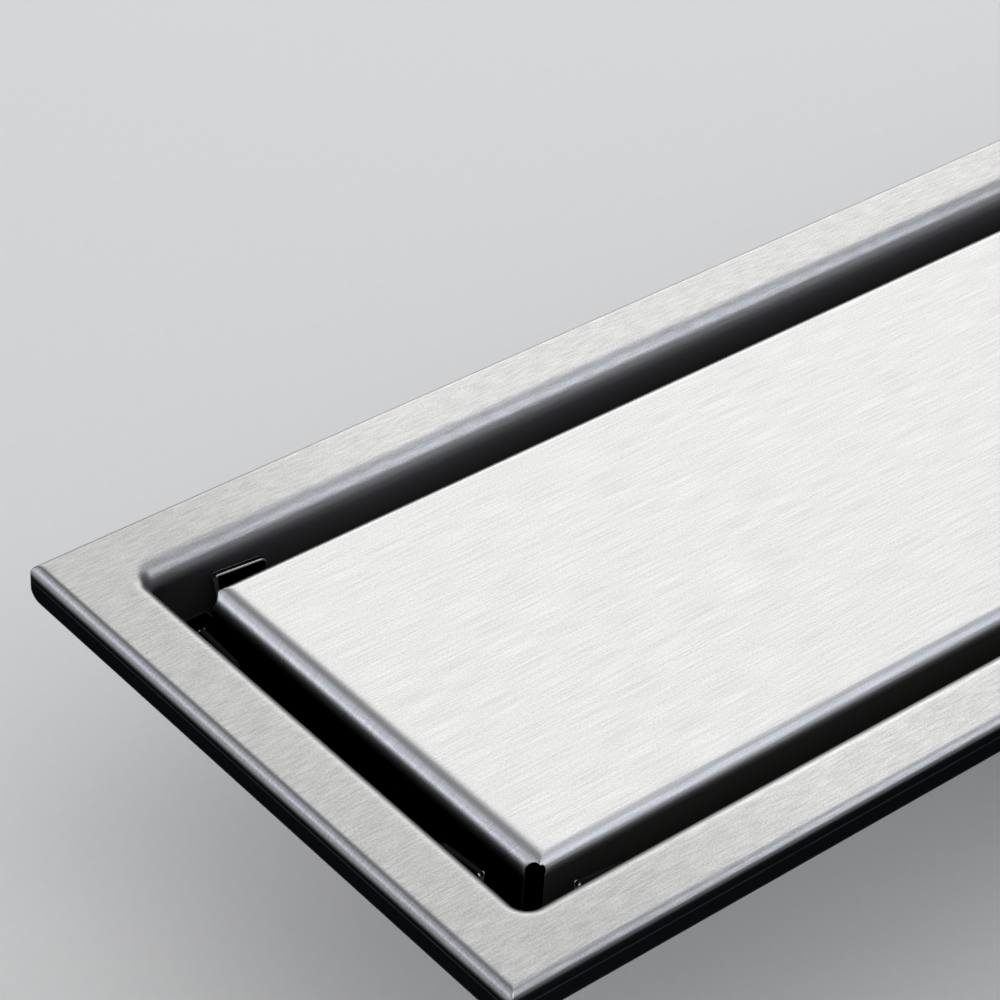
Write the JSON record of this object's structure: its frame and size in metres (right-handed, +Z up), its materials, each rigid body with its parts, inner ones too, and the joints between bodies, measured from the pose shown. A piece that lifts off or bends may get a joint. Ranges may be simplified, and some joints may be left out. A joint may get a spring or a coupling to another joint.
{
  "type": "linear shower drain",
  "caption": "Long rectangular shower floor drain in brushed stainless steel: folded rim, flat lift-out cover with open slots round it, sloped channel, hair strainer and round outlet tube.",
  "frame": {"origin": "centre of the outlet tube's lower end, which is the lowest point of the drain", "axes": "+X along the drain, +Y across it, +Z up out of the floor"},
  "size_m": [0.3, 0.08, 0.05],
  "materials": {
    "channel_steel": "brushed along the length, mill finish inside",
    "cover_steel": "brushed along the length",
    "rest_steel": "mill finish",
    "outlet_steel": "drawn tube",
    "strainer_steel": "satin",
    "knob_steel": "turned"
  },
  "bodies": {
    "root": {"channel_body": "channel_steel", "cover_plate": "cover_steel", "cover_rest_front_left": "rest_steel", "cover_rest_front_right": "rest_steel", "cover_rest_back_left": "rest_steel", "cover_rest_back_right": "rest_steel", "outlet_tube": "outlet_steel", "hair_strainer": "strainer_steel", "strainer_knob": "knob_steel"}
  },
  "joints": []
}
